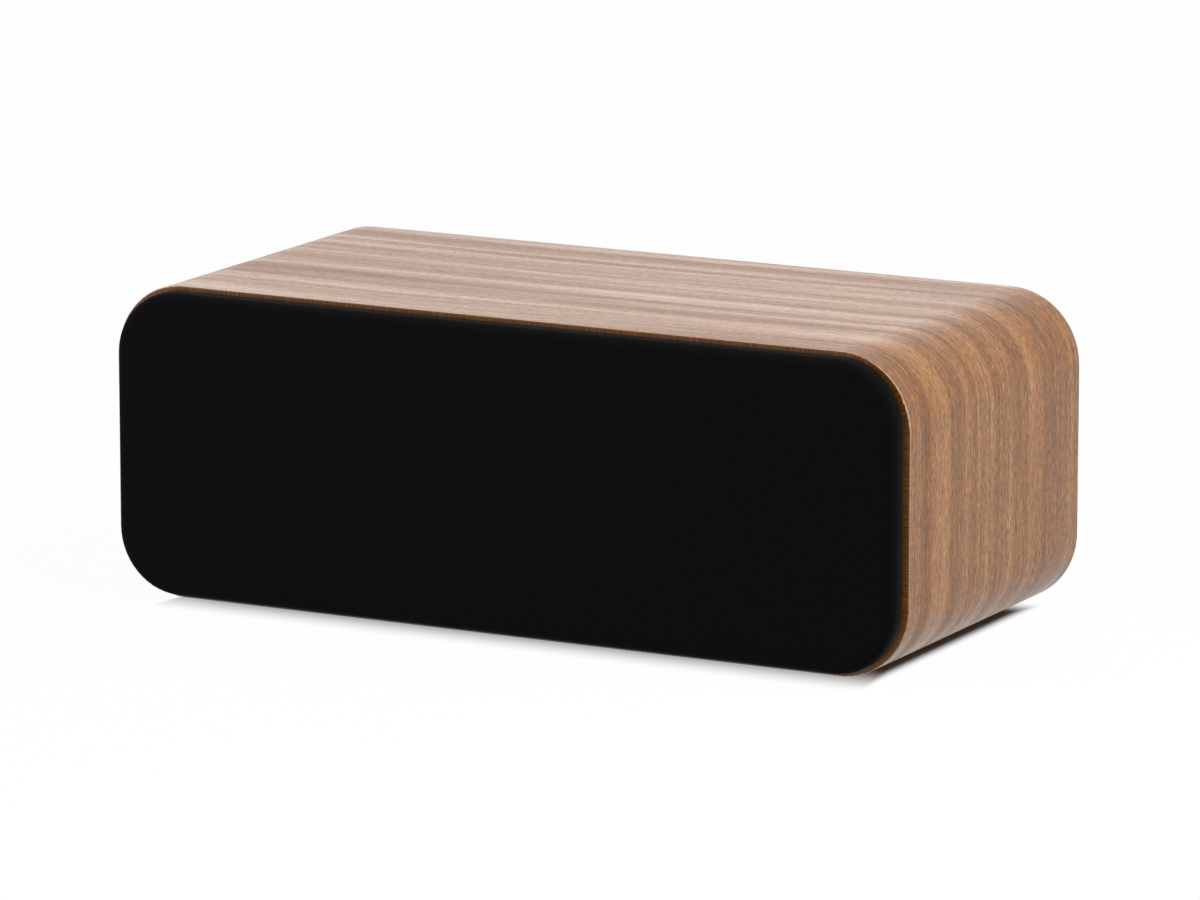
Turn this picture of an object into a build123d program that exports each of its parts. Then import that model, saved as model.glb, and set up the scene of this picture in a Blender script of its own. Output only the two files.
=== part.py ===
from build123d import *
from math import cos, radians, sin, tan
import os

# Center channel speaker: a rounded veneered wrap, a cloth grille held on by magnets, two woofers either
# side of a dome tweeter, and at the back a reflex port and a terminal panel that carries the crossover.
# Millimetres, +Z up, the listener is towards -Y. The origin is on the floor, midway along X and Y.

# Cabinet
cabinet_width = 440
cabinet_height = 159
cabinet_depth = 194
corner_radius = 37
wall = 12
outer_edge_round = 0.6
panel_rebate = 4
baffle_thickness = 18
rear_panel_thickness = 15
rear_panel_recess = 2
glue_gap = 0.1
brace_thickness = 12
brace_window_margin = 20
brace_window_bar = 14
brace_window_corner = 14

# Feet
foot_radius = 9
foot_height = 4
foot_edge_round = 1
foot_side_inset = 62
foot_end_inset = 28

# Grille
grille_proud = 10
grille_side_margin = 4
grille_top_margin = 2.4
grille_edge_round = 4.5
cloth_thickness = 1
cloth_gap = 0.1
window_clearance = 1.7
window_corner = 40
window_edge_chamfer = 1.5
magnet_radius = 4
magnet_thickness = 3
magnet_fit = 0.1
magnet_skin = 2
magnet_corner_inset = 20

# Woofers, as radii across each driver and depths along its axis
woofer_side_margin = 7.5
woofer_flange_radius = 62.5
woofer_opening_radius = 50
woofer_cutout_radius = 55
woofer_recess_clearance = 0.2
woofer_set_back = 1.2
flange_thickness = 4
trim_ring_inner_radius = 55.3
trim_ring_proud = 1
trim_ring_round = 0.9
surround_lip = 0.8
surround_roll_radius = 4.4
surround_glue_width = 3.4
cone_depth = 13
cone_thickness = 0.8
spider_depth = 24
spider_thickness = 0.6
spider_waves = 5
spider_wave_height = 1.2
spider_lip = 4
landing_inner_radius = 30.5
landing_thickness = 2
basket_cup_radius = 37
basket_cup_wall = 2.5
basket_depth = 34.3
basket_floor = 2.5
spoke_count = 6
spoke_width = 9
spoke_foot = 4
spoke_bite = 0.8
pole_radius = 12
pole_vent_radius = 4
coil_clearance = 0.5
former_wall = 0.4
winding_wall = 0.8
coil_overhang = 3
top_plate_radius = 40
top_plate_thickness = 5
ferrite_radius = 43
ferrite_inner_radius = 19
ferrite_thickness = 14
back_plate_radius = 39
back_plate_thickness = 6
back_plate_chamfer = 2
woofer_screw_circle = 58.9
woofer_screw_count = 6

# Screws
screw_radius = 1.75
screw_head_radius = 3.3
screw_length = 15
screw_fit = 0.05
countersink_angle = 90

# Tweeter, as radii and depths
faceplate_radius = 47
faceplate_thickness = 5
faceplate_clearance = 0.2
faceplate_round = 0.8
waveguide_radius = 33
waveguide_depth = 3.6
throat_radius = 17.4
tweeter_cutout_radius = 32
tweeter_screw_circle = 40
tweeter_screw_count = 4
tweeter_screw_angle = 45
dome_radius = 12.5
dome_height = 5
dome_thickness = 0.4
dome_roll_radius = 1.8
dome_lip_radius = 20
tweeter_pole_radius = 11.4
tweeter_coil_depth = 5
tweeter_plate_radius = 30
tweeter_plate_thickness = 4
tweeter_magnet_inner_radius = 17
tweeter_magnet_thickness = 8
tweeter_back_plate_radius = 28
tweeter_back_plate_thickness = 4
tweeter_vent_radius = 3
chamber_radius = 26
chamber_depth = 16
chamber_wall = 2
chamber_round = 3

# Reflex port
port_radius = 22
port_wall = 2.5
port_length = 80
port_mouth_flare = 12
port_inner_flare = 6
port_flange_lip = 3.5
port_fit = 0.2

# Terminal panel, stems and caps
terminal_plate_width = 112
terminal_plate_height = 92
terminal_plate_thickness = 3
terminal_plate_corner = 8
terminal_plate_overlap = 7
terminal_brace_gap = 2.5
dish_width = 62
dish_height = 46
dish_corner = 10
dish_depth = 24
dish_wall = 3
dish_draft = 5
terminal_spacing = 28
stem_radius = 3.6
stem_length = 22
stem_collar_radius = 6.5
stem_collar_height = 2.5
socket_radius = 2.05
socket_length = 15
wire_hole_radius = 1.3
stud_spare = 1.5
nut_across_flats = 11
nut_thickness = 4
thread_fit = 0.05
insert_radius = 5.5
insert_length = 10
cap_radius = 8.5
cap_gap = 0.3
cap_end_wall = 2.5
cap_plug_hole_radius = 2.7
cap_proud = 1
cap_flute_count = 16
cap_flute_radius = 1
cap_edge_chamfer = 0.6
terminal_screw_inset = 5.5
terminal_screw_head_height = 2

# Crossover
board_clearance = 2.5
board_thickness = 1.6
inductor_radius = 15
inductor_bore_radius = 6
inductor_height = 16
inductor_cheek = 1.2
inductor_cheek_lip = 1
capacitor_radius = 7
capacitor_length = 26
capacitor_round = 1
resistor_width = 8
resistor_length = 28
part_edge_gap = 2

# Leads and wadding
lead_radius = 1.6
lead_contact_gap = 0.05
lead_exit = 26
lead_brace_run = 12
lead_approach = 10
lead_sway = 4
wadding_length = 96
wadding_depth = 92
wadding_height = 58
wadding_round = 16
wadding_gap = 0.3

# Places along Y, Z and X that the pieces share
rear_proud = terminal_plate_thickness + max(cap_proud, terminal_screw_head_height) - rear_panel_recess
overall_depth = grille_proud + cabinet_depth + rear_proud
front_y = grille_proud - overall_depth / 2
rear_y = front_y + cabinet_depth
rear_face_y = rear_y - rear_panel_recess
rear_inner_y = rear_face_y - rear_panel_thickness
baffle_back_y = front_y + baffle_thickness
axis_z = foot_height + cabinet_height / 2
inner_height = cabinet_height - 2 * wall
woofer_x = cabinet_width / 2 - wall - woofer_side_margin - woofer_flange_radius
port_x = woofer_x
cutout_width = terminal_plate_width - 2 * terminal_plate_overlap
cutout_height = terminal_plate_height - 2 * terminal_plate_overlap
brace_x = (cutout_width + brace_thickness) / 2 + terminal_brace_gap
dish_floor_y = rear_face_y + terminal_plate_thickness - dish_depth
board_back_y = dish_floor_y - dish_wall
board_face_y = board_back_y - board_thickness
board_width = cutout_width - 2 * board_clearance
board_height = cutout_height - 2 * board_clearance

# Depths behind the baffle's face, down each woofer's stack
flange_back = woofer_set_back + flange_thickness
landing_depth = woofer_set_back + spider_depth
basket_back = woofer_set_back + basket_depth
top_plate_back = basket_back + top_plate_thickness
ferrite_back = top_plate_back + ferrite_thickness
yoke_back = ferrite_back + back_plate_thickness

# Radii across each woofer
roll_outer_radius = woofer_opening_radius + surround_lip
roll_middle_radius = roll_outer_radius - surround_roll_radius + surround_lip
roll_inner_radius = roll_middle_radius - surround_roll_radius + surround_lip
cone_radius = roll_inner_radius
dish_edge_radius = cone_radius - surround_glue_width
dish_sphere = (dish_edge_radius**2 + cone_depth**2) / (2 * cone_depth)
former_inner_radius = pole_radius + coil_clearance
former_radius = former_inner_radius + former_wall
winding_radius = former_radius + winding_wall
gap_radius = winding_radius + coil_clearance

# Depths and radii of the tweeter
dome_rim_depth = faceplate_thickness
plate_front = dome_rim_depth + dome_thickness
plate_back = plate_front + tweeter_plate_thickness
tweeter_magnet_back = plate_back + tweeter_magnet_thickness
tweeter_yoke_back = tweeter_magnet_back + tweeter_back_plate_thickness
chamber_back = tweeter_yoke_back + chamber_depth
waveguide_width = waveguide_radius - throat_radius
waveguide_flare = (waveguide_width**2 + waveguide_depth**2) / (2 * waveguide_depth)
dome_sphere = (dome_radius**2 + dome_height**2) / (2 * dome_height)
dome_roll_inside = dome_roll_radius - dome_thickness
dome_roll_middle = dome_radius + dome_roll_inside
tweeter_former_radius = dome_radius - coil_clearance / 2
tweeter_winding_radius = tweeter_former_radius + winding_wall
tweeter_gap_radius = tweeter_winding_radius + coil_clearance

# Elevations: the front one looks at the listener's side, the rear one at the wall's side
front_plane = Plane(origin=(0, front_y, axis_z), x_dir=(1, 0, 0), z_dir=(0, -1, 0))
rear_plane = Plane(origin=(0, rear_y, axis_z), x_dir=(-1, 0, 0), z_dir=(0, 1, 0))
rear_face_plane = rear_plane.offset(-rear_panel_recess)
board_plane = Plane(origin=(0, board_face_y, axis_z), x_dir=(1, 0, 0), z_dir=(0, -1, 0))
sides = {"left": -1, "right": 1}

os.makedirs("parts", exist_ok=True)


def write(part, name):
    part.label = name
    export_step(part, f"parts/{name}.step")


# Sections through an axis of revolution: local x is the radius, local y runs along the axis
def driver_planes(x, count=1, start_angle=0):
    planes = []
    for step in range(count):
        angle = radians(start_angle + step * 360 / count)
        radial = (cos(angle), 0, sin(angle))
        normal = (-sin(angle), 0, cos(angle))
        planes.append(Plane(origin=(x, front_y, axis_z), x_dir=radial, z_dir=normal))
    return planes


def along_y(x, y=0):
    return Axis((x, y, axis_z), (0, 1, 0))


# A ring's section, from one radius to another and from one depth to another
def ring(inner, outer, top, bottom, mode=Mode.ADD):
    with Locations(((inner + outer) / 2, (top + bottom) / 2)):
        Rectangle(outer - inner, bottom - top, mode=mode)


def cabinet_outline(inset, mode=Mode.ADD):
    RectangleRounded(cabinet_width - 2 * inset, cabinet_height - 2 * inset, corner_radius - inset, mode=mode)


def grille_outline(inset):
    RectangleRounded(
        cabinet_width - 2 * (grille_side_margin + inset),
        cabinet_height - 2 * (grille_top_margin + inset),
        corner_radius - grille_side_margin - inset,
    )


# Cabinet: the wrap is a tube with a rebate at each end for the two panels
with BuildPart() as cabinet_wrap:
    with BuildSketch(front_plane):
        cabinet_outline(0)
        cabinet_outline(wall, mode=Mode.SUBTRACT)
    extrude(amount=-cabinet_depth)
    with BuildSketch(front_plane):
        cabinet_outline(wall - panel_rebate)
    extrude(amount=-baffle_thickness, mode=Mode.SUBTRACT)
    with BuildSketch(rear_plane):
        cabinet_outline(wall - panel_rebate)
    extrude(amount=-(rear_panel_recess + rear_panel_thickness), mode=Mode.SUBTRACT)
    rims = cabinet_wrap.faces().filter_by(Axis.Y).sort_by(Axis.Y)
    fillet(rims[0].outer_wire().edges() + rims[-1].outer_wire().edges(), radius=outer_edge_round)
write(cabinet_wrap.part, "cabinet_wrap")

# Magnet places, shared by the baffle and the grille's frame
corner_magnet_x = cabinet_width / 2 - wall - magnet_corner_inset + panel_rebate
magnet_z = cabinet_height / 2 - wall - magnet_corner_inset + 2 * panel_rebate
middle_magnet_x = (woofer_x - woofer_flange_radius + faceplate_radius) / 2
magnet_places = []
for magnet_x in (-corner_magnet_x, -middle_magnet_x, middle_magnet_x, corner_magnet_x):
    magnet_places += [(magnet_x, -magnet_z), (magnet_x, magnet_z)]

# Front baffle: a flanged recess for each driver, and blind pockets from behind for the magnets
woofer_places = [(-woofer_x, 0), (woofer_x, 0)]
with BuildPart(front_plane) as front_baffle:
    with BuildSketch(front_plane):
        cabinet_outline(wall - panel_rebate + glue_gap)
    extrude(amount=-baffle_thickness)
    with Locations(*woofer_places):
        CounterBoreHole(woofer_cutout_radius, woofer_flange_radius + woofer_recess_clearance, flange_back)
        with PolarLocations(woofer_screw_circle, woofer_screw_count):
            Hole(screw_radius + screw_fit)
    CounterBoreHole(tweeter_cutout_radius, faceplate_radius + faceplate_clearance, faceplate_thickness)
    with PolarLocations(tweeter_screw_circle, tweeter_screw_count, start_angle=tweeter_screw_angle):
        Hole(screw_radius + screw_fit)
    with BuildSketch(front_plane.offset(-magnet_skin)):
        with Locations(*magnet_places):
            Circle(magnet_radius + magnet_fit)
    extrude(amount=-baffle_thickness, mode=Mode.SUBTRACT)
write(front_baffle.part, "front_baffle")

with BuildPart() as baffle_magnets:
    with BuildSketch(front_plane.offset(-magnet_skin)):
        with Locations(*magnet_places):
            Circle(magnet_radius)
    extrude(amount=-magnet_thickness)
write(baffle_magnets.part, "baffle_magnets")

# Rear panel: a stepped hole for the port and a cut-out for the terminal panel
port_mouth_radius = port_radius + port_mouth_flare
port_flange_radius = port_mouth_radius + port_flange_lip
terminal_screw_x = terminal_plate_width / 2 - terminal_screw_inset
terminal_screw_z = terminal_plate_height / 2 - terminal_screw_inset
terminal_screw_places = [
    (across * terminal_screw_x, up * terminal_screw_z) for across in (-1, 1) for up in (-1, 1)
]
with BuildPart(rear_face_plane) as rear_panel:
    with BuildSketch(rear_face_plane):
        cabinet_outline(wall - panel_rebate + glue_gap)
    extrude(amount=-rear_panel_thickness)
    with Locations((-port_x, 0)):
        CounterBoreHole(port_mouth_radius + port_fit, port_flange_radius + port_fit, port_wall)
    with BuildSketch(rear_face_plane):
        RectangleRounded(cutout_width, cutout_height, terminal_plate_corner)
    extrude(amount=-rear_panel_thickness, mode=Mode.SUBTRACT)
    with Locations(*terminal_screw_places):
        Hole(screw_radius + screw_fit)
write(rear_panel.part, "rear_panel")

# Braces: one between each woofer and the tweeter, with two windows that let the air and the leads through
brace_depth = rear_inner_y - baffle_back_y
window_depth = (brace_depth - 2 * brace_window_margin - brace_window_bar) / 2
window_height = inner_height - 2 * brace_window_margin
for side, direction in sides.items():
    brace_middle = (direction * brace_x, (baffle_back_y + rear_inner_y) / 2, axis_z)
    brace_plane = Plane(origin=brace_middle, x_dir=(0, 1, 0), z_dir=(1, 0, 0))
    with BuildPart() as brace:
        with BuildSketch(brace_plane):
            Rectangle(brace_depth, inner_height)
            with GridLocations(window_depth + brace_window_bar, 0, 2, 1):
                RectangleRounded(window_depth, window_height, brace_window_corner, mode=Mode.SUBTRACT)
        extrude(amount=brace_thickness / 2, both=True)
    write(brace.part, f"brace_{side}")

# Feet
foot_x = cabinet_width / 2 - foot_side_inset
for end, foot_y in {"front": front_y + foot_end_inset, "rear": rear_y - foot_end_inset}.items():
    for side, direction in sides.items():
        with BuildPart() as foot:
            with BuildSketch(Plane(origin=(direction * foot_x, foot_y, 0))):
                Circle(foot_radius)
            extrude(amount=foot_height)
            fillet(foot.edges().group_by(Axis.Z)[0], radius=foot_edge_round)
        write(foot.part, f"foot_{end}_{side}")

# Reflex port: a tube that flares at the mouth and, less, at its inner end
port_plane = Plane(origin=(port_x, rear_face_y, axis_z), x_dir=(1, 0, 0), z_dir=(0, 0, -1))
port_outer_radius = port_radius + port_wall
port_end_radius = port_radius + port_inner_flare
port_end_bend = port_length - port_inner_flare
with BuildPart() as port_tube:
    with BuildSketch(port_plane):
        with BuildLine():
            Polyline(
                (port_mouth_radius, 0),
                (port_flange_radius, 0),
                (port_flange_radius, port_wall),
                (port_mouth_radius, port_wall),
            )
            RadiusArc(
                (port_mouth_radius, port_wall),
                (port_outer_radius, port_mouth_flare),
                port_mouth_flare - port_wall,
            )
            Line((port_outer_radius, port_mouth_flare), (port_outer_radius, port_end_bend))
            RadiusArc(
                (port_outer_radius, port_end_bend),
                (port_end_radius, port_length - port_wall),
                port_inner_flare - port_wall,
            )
            Line((port_end_radius, port_length - port_wall), (port_end_radius, port_length))
            RadiusArc((port_end_radius, port_length), (port_radius, port_end_bend), -port_inner_flare)
            Line((port_radius, port_end_bend), (port_radius, port_mouth_flare))
            RadiusArc((port_radius, port_mouth_flare), (port_mouth_radius, 0), -port_mouth_flare)
        make_face()
    revolve(axis=along_y(port_x))
write(port_tube.part, "port_tube")

# Grille: the cloth is a shallow tray with a rounded front edge, drawn over a frame with three windows
frame_inset = cloth_thickness + cloth_gap
frame_front = grille_proud - frame_inset
with BuildPart() as grille_cloth:
    with BuildSketch(front_plane):
        grille_outline(0)
    extrude(amount=grille_proud)
    front_face = grille_cloth.faces().sort_by(Axis.Y)[0]
    fillet(front_face.edges(), radius=grille_edge_round)
    offset(amount=-cloth_thickness, openings=grille_cloth.faces().sort_by(Axis.Y)[-1])
write(grille_cloth.part, "grille_cloth")

woofer_window = 2 * (woofer_flange_radius + window_clearance)
tweeter_window = 2 * (faceplate_radius + window_clearance)
with BuildPart() as grille_frame:
    with BuildSketch(front_plane):
        grille_outline(frame_inset)
    extrude(amount=frame_front)
    fillet(grille_frame.faces().sort_by(Axis.Y)[0].edges(), radius=grille_edge_round - frame_inset)
    with BuildSketch(front_plane):
        with Locations(*woofer_places):
            RectangleRounded(woofer_window, woofer_window, window_corner)
        RectangleRounded(tweeter_window, woofer_window, window_corner)
    extrude(amount=frame_front, mode=Mode.SUBTRACT)
    window_edges = grille_frame.faces().sort_by(Axis.Y)[0].inner_wires().edges()
    chamfer(window_edges, length=window_edge_chamfer)
    with BuildSketch(front_plane):
        with Locations(*magnet_places):
            Circle(magnet_radius + magnet_fit)
    extrude(amount=magnet_thickness, mode=Mode.SUBTRACT)
write(grille_frame.part, "grille_frame")

with BuildPart() as grille_magnets:
    with BuildSketch(front_plane):
        with Locations(*magnet_places):
            Circle(magnet_radius)
    extrude(amount=magnet_thickness)
write(grille_magnets.part, "grille_magnets")


# Woofer pieces
def make_basket(x):
    section = driver_planes(x)[0]
    spoke_planes = driver_planes(x, spoke_count, start_angle=360 / spoke_count / 2)
    cup_middle = basket_cup_radius - basket_cup_wall / 2
    with BuildPart() as basket:
        with BuildSketch(section):
            ring(woofer_opening_radius, woofer_flange_radius, woofer_set_back, flange_back)
            ring(landing_inner_radius, basket_cup_radius, landing_depth, landing_depth + landing_thickness)
            ring(basket_cup_radius - basket_cup_wall, basket_cup_radius, landing_depth, basket_back)
            ring(gap_radius + coil_clearance, top_plate_radius, basket_back - basket_floor, basket_back)
        revolve(axis=along_y(x))
        with BuildSketch(*spoke_planes):
            with BuildLine():
                Polyline(
                    (woofer_opening_radius + spoke_bite, flange_back),
                    (woofer_opening_radius + spoke_foot, flange_back),
                    (top_plate_radius - spoke_bite, basket_back),
                    (cup_middle, basket_back),
                    (cup_middle, landing_depth),
                    (basket_cup_radius - spoke_bite, landing_depth),
                    close=True,
                )
            make_face()
        extrude(amount=spoke_width / 2, both=True)
        flange_middle = (x, front_y + woofer_set_back, axis_z)
        with Locations(Plane(origin=flange_middle, x_dir=(1, 0, 0), z_dir=(0, -1, 0))):
            with PolarLocations(woofer_screw_circle, woofer_screw_count):
                CounterSinkHole(
                    screw_radius + screw_fit,
                    screw_head_radius + screw_fit,
                    depth=flange_thickness,
                    counter_sink_angle=countersink_angle,
                )
    return basket.part


def make_surround(x):
    lip_front = woofer_set_back - surround_lip
    with BuildPart() as surround:
        with BuildSketch(driver_planes(x)[0]):
            with Locations((roll_middle_radius, woofer_set_back)):
                Circle(surround_roll_radius)
                Circle(surround_roll_radius - surround_lip, mode=Mode.SUBTRACT)
            below = woofer_set_back + surround_roll_radius
            roll_inside = roll_inner_radius - surround_lip
            roll_outside = roll_outer_radius + surround_lip
            ring(roll_inside, roll_outside, woofer_set_back, below, mode=Mode.SUBTRACT)
            lip_radius = trim_ring_inner_radius - woofer_recess_clearance
            ring(roll_outer_radius, lip_radius, lip_front, woofer_set_back)
            ring(dish_edge_radius, roll_inner_radius, lip_front, woofer_set_back)
        revolve(axis=along_y(x))
    return surround.part


# The cone is one continuous dish with a flat rim and no dust cap
def make_cone(x):
    rim_front = woofer_set_back
    rim_back = rim_front + cone_thickness
    bottom = rim_front + cone_depth
    with BuildPart() as cone:
        with BuildSketch(driver_planes(x)[0]):
            with BuildLine():
                RadiusArc((0, bottom), (dish_edge_radius, rim_front), dish_sphere)
                Polyline(
                    (dish_edge_radius, rim_front),
                    (cone_radius, rim_front),
                    (cone_radius, rim_back),
                    (dish_edge_radius, rim_back),
                )
                RadiusArc((dish_edge_radius, rim_back), (0, bottom + cone_thickness), -dish_sphere)
                Line((0, bottom + cone_thickness), (0, bottom))
            make_face()
        revolve(axis=along_y(x))
    return cone.part


def make_spider(x):
    inner = former_radius + glue_gap
    outer = basket_cup_radius - basket_cup_wall / 2
    wave_start = inner + spider_lip / 2
    wave_end = landing_inner_radius - spider_lip / 2
    half_wave = (wave_end - wave_start) / (2 * spider_waves)
    back = landing_depth
    front = back - spider_thickness
    with BuildPart() as spider:
        with BuildSketch(driver_planes(x)[0]):
            with BuildLine():
                for level in (front, back):
                    Line((inner, level), (wave_start, level))
                    Line((wave_end, level), (outer, level))
                    for step in range(2 * spider_waves):
                        start = wave_start + step * half_wave
                        crest = level - spider_wave_height * (-1) ** step / 2
                        end = start + half_wave
                        ThreePointArc((start, level), ((start + end) / 2, crest), (end, level))
                Line((inner, front), (inner, back))
                Line((outer, front), (outer, back))
            make_face()
        revolve(axis=along_y(x))
    return spider.part


def make_voice_coil(x):
    neck_drop = dish_sphere - (dish_sphere**2 - former_inner_radius**2) ** 0.5
    former_front = woofer_set_back + cone_depth + cone_thickness - neck_drop + glue_gap
    coil_front = basket_back - coil_overhang
    coil_back = top_plate_back + coil_overhang
    with BuildPart() as voice_coil:
        with BuildSketch(driver_planes(x)[0]):
            ring(former_inner_radius, former_radius, former_front, coil_back)
            ring(former_inner_radius, winding_radius, coil_front, coil_back)
        revolve(axis=along_y(x))
    return voice_coil.part


def make_top_plate(x):
    with BuildPart() as top_plate:
        with BuildSketch(driver_planes(x)[0]):
            ring(gap_radius, top_plate_radius, basket_back, top_plate_back)
        revolve(axis=along_y(x))
    return top_plate.part


def make_magnet(x):
    with BuildPart() as magnet:
        with BuildSketch(driver_planes(x)[0]):
            ring(ferrite_inner_radius, ferrite_radius, top_plate_back, ferrite_back)
        revolve(axis=along_y(x))
        outer_edges = magnet.edges().filter_by(GeomType.CIRCLE).group_by(SortBy.RADIUS)[-1]
        chamfer(outer_edges, length=back_plate_chamfer / 2)
    return magnet.part


# The yoke is the back plate and the vented pole in one turned piece
def make_yoke(x):
    with BuildPart() as yoke:
        with BuildSketch(driver_planes(x)[0]):
            ring(pole_vent_radius, pole_radius, basket_back, yoke_back)
            ring(pole_vent_radius, back_plate_radius, ferrite_back, yoke_back)
        revolve(axis=along_y(x))
        rim = yoke.edges().group_by(Axis.Y)[-1].sort_by(SortBy.RADIUS)[-1]
        chamfer(rim, length=back_plate_chamfer)
    return yoke.part


def make_trim_ring(x):
    with BuildPart() as trim_ring:
        with BuildSketch(driver_planes(x)[0]) as profile:
            ring(trim_ring_inner_radius, woofer_flange_radius, -trim_ring_proud, woofer_set_back)
            fillet(profile.vertices().group_by(Axis.Y)[0], radius=trim_ring_round)
        revolve(axis=along_y(x))
    return trim_ring.part


# Countersunk screws round one driver, with their heads level with the given depth
def make_driver_screws(x, circle, count, start_angle, head_depth):
    head_height = screw_head_radius - screw_radius
    sections = screw_sections(x, circle, count, start_angle, head_depth)
    with BuildPart() as screws:
        with BuildSketch(*sections):
            with BuildLine():
                Polyline(
                    (0, 0),
                    (screw_head_radius, 0),
                    (screw_radius, head_height),
                    (screw_radius, screw_length - screw_radius),
                    (0, screw_length),
                    close=True,
                )
            make_face()
        for section, face in zip(sections, screws.pending_faces[:]):
            revolve(face, axis=Axis(section.origin, (0, 1, 0)))
        screws.pending_faces.clear()
    return screws.part


def screw_sections(x, circle, count, start_angle, head_depth):
    planes = []
    for step in range(count):
        angle = radians(start_angle + step * 360 / count)
        centre = (x + circle * cos(angle), front_y + head_depth, axis_z + circle * sin(angle))
        planes.append(Plane(origin=centre, x_dir=(1, 0, 0), z_dir=(0, 0, 1)))
    return planes


woofer_makers = {
    "basket": make_basket,
    "surround": make_surround,
    "cone": make_cone,
    "spider": make_spider,
    "voice_coil": make_voice_coil,
    "top_plate": make_top_plate,
    "magnet": make_magnet,
    "yoke": make_yoke,
    "trim_ring": make_trim_ring,
}
for side, direction in sides.items():
    for piece, maker in woofer_makers.items():
        write(maker(direction * woofer_x), f"woofer_{piece}_{side}")
    woofer_screws = make_driver_screws(
        direction * woofer_x, woofer_screw_circle, woofer_screw_count, 0, woofer_set_back
    )
    write(woofer_screws, f"woofer_screws_{side}")

# Tweeter: a faceplate with a shallow waveguide in front of the dome and its motor
tweeter_section = driver_planes(0)[0]
with BuildPart() as tweeter_faceplate:
    with BuildSketch(tweeter_section):
        with BuildLine():
            Polyline(
                (throat_radius, waveguide_depth),
                (throat_radius, faceplate_thickness),
                (dome_lip_radius + coil_clearance, faceplate_thickness),
                (dome_lip_radius + coil_clearance, plate_front),
                (tweeter_plate_radius, plate_front),
                (tweeter_plate_radius, faceplate_thickness),
                (faceplate_radius, faceplate_thickness),
                (faceplate_radius, 0),
                (waveguide_radius, 0),
            )
            RadiusArc((waveguide_radius, 0), (throat_radius, waveguide_depth), waveguide_flare)
        make_face()
    revolve(axis=along_y(0))
    front_rim = tweeter_faceplate.edges().group_by(Axis.Y)[0].sort_by(SortBy.RADIUS)[-1]
    fillet(front_rim, radius=faceplate_round)
    with Locations(front_plane):
        with PolarLocations(tweeter_screw_circle, tweeter_screw_count, start_angle=tweeter_screw_angle):
            CounterSinkHole(
                screw_radius + screw_fit,
                screw_head_radius + screw_fit,
                depth=faceplate_thickness,
                counter_sink_angle=countersink_angle,
            )
write(tweeter_faceplate.part, "tweeter_faceplate")

# The dome and its roll are one formed piece, clamped by its lip between the faceplate and the top plate
with BuildPart() as tweeter_dome:
    with BuildSketch(tweeter_section):
        with BuildLine():
            RadiusArc((0, dome_rim_depth - dome_height), (dome_radius, dome_rim_depth), -dome_sphere)
            Line((dome_radius, dome_rim_depth), (dome_radius, plate_front))
            RadiusArc((dome_radius, plate_front), (0, plate_front - dome_height), dome_sphere)
            Line((0, plate_front - dome_height), (0, dome_rim_depth - dome_height))
        make_face()
        with BuildLine():
            CenterArc((dome_roll_middle, plate_front), dome_roll_radius, 180, 180)
            CenterArc((dome_roll_middle, plate_front), dome_roll_inside, 180, 180)
            for reach in (-1, 1):
                inside = dome_roll_middle + reach * dome_roll_inside
                outside = dome_roll_middle + reach * dome_roll_radius
                Line((inside, plate_front), (outside, plate_front))
        make_face()
        ring(dome_roll_middle + dome_roll_inside, dome_lip_radius, dome_rim_depth, plate_front)
    revolve(axis=along_y(0))
write(tweeter_dome.part, "tweeter_dome")

with BuildPart() as tweeter_voice_coil:
    coil_middle = (plate_front + plate_back) / 2
    with BuildSketch(tweeter_section):
        ring(tweeter_former_radius - former_wall, tweeter_former_radius, plate_front + glue_gap,
             plate_front + tweeter_coil_depth)
        ring(tweeter_former_radius - former_wall, tweeter_winding_radius, coil_middle - coil_clearance,
             plate_front + tweeter_coil_depth)
    revolve(axis=along_y(0))
write(tweeter_voice_coil.part, "tweeter_voice_coil")

with BuildPart() as tweeter_top_plate:
    with BuildSketch(tweeter_section):
        ring(tweeter_gap_radius, tweeter_plate_radius, plate_front, plate_back)
    revolve(axis=along_y(0))
write(tweeter_top_plate.part, "tweeter_top_plate")

with BuildPart() as tweeter_magnet:
    with BuildSketch(tweeter_section):
        ring(tweeter_magnet_inner_radius, tweeter_plate_radius, plate_back, tweeter_magnet_back)
    revolve(axis=along_y(0))
write(tweeter_magnet.part, "tweeter_magnet")

with BuildPart() as tweeter_yoke:
    with BuildSketch(tweeter_section):
        ring(tweeter_vent_radius, tweeter_pole_radius, plate_front, tweeter_yoke_back)
        ring(tweeter_vent_radius, tweeter_back_plate_radius, tweeter_magnet_back, tweeter_yoke_back)
    revolve(axis=along_y(0))
write(tweeter_yoke.part, "tweeter_yoke")

with BuildPart() as tweeter_rear_chamber:
    with BuildSketch(tweeter_section):
        ring(0, chamber_radius, tweeter_yoke_back, chamber_back)
        chamber_floor = chamber_back - chamber_wall
        ring(0, chamber_radius - chamber_wall, tweeter_yoke_back, chamber_floor, mode=Mode.SUBTRACT)
    revolve(axis=along_y(0))
    fillet(tweeter_rear_chamber.edges().group_by(Axis.Y)[-1], radius=chamber_round)
write(tweeter_rear_chamber.part, "tweeter_rear_chamber")

tweeter_screws = make_driver_screws(0, tweeter_screw_circle, tweeter_screw_count, tweeter_screw_angle, 0)
write(tweeter_screws, "tweeter_screws")

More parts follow.
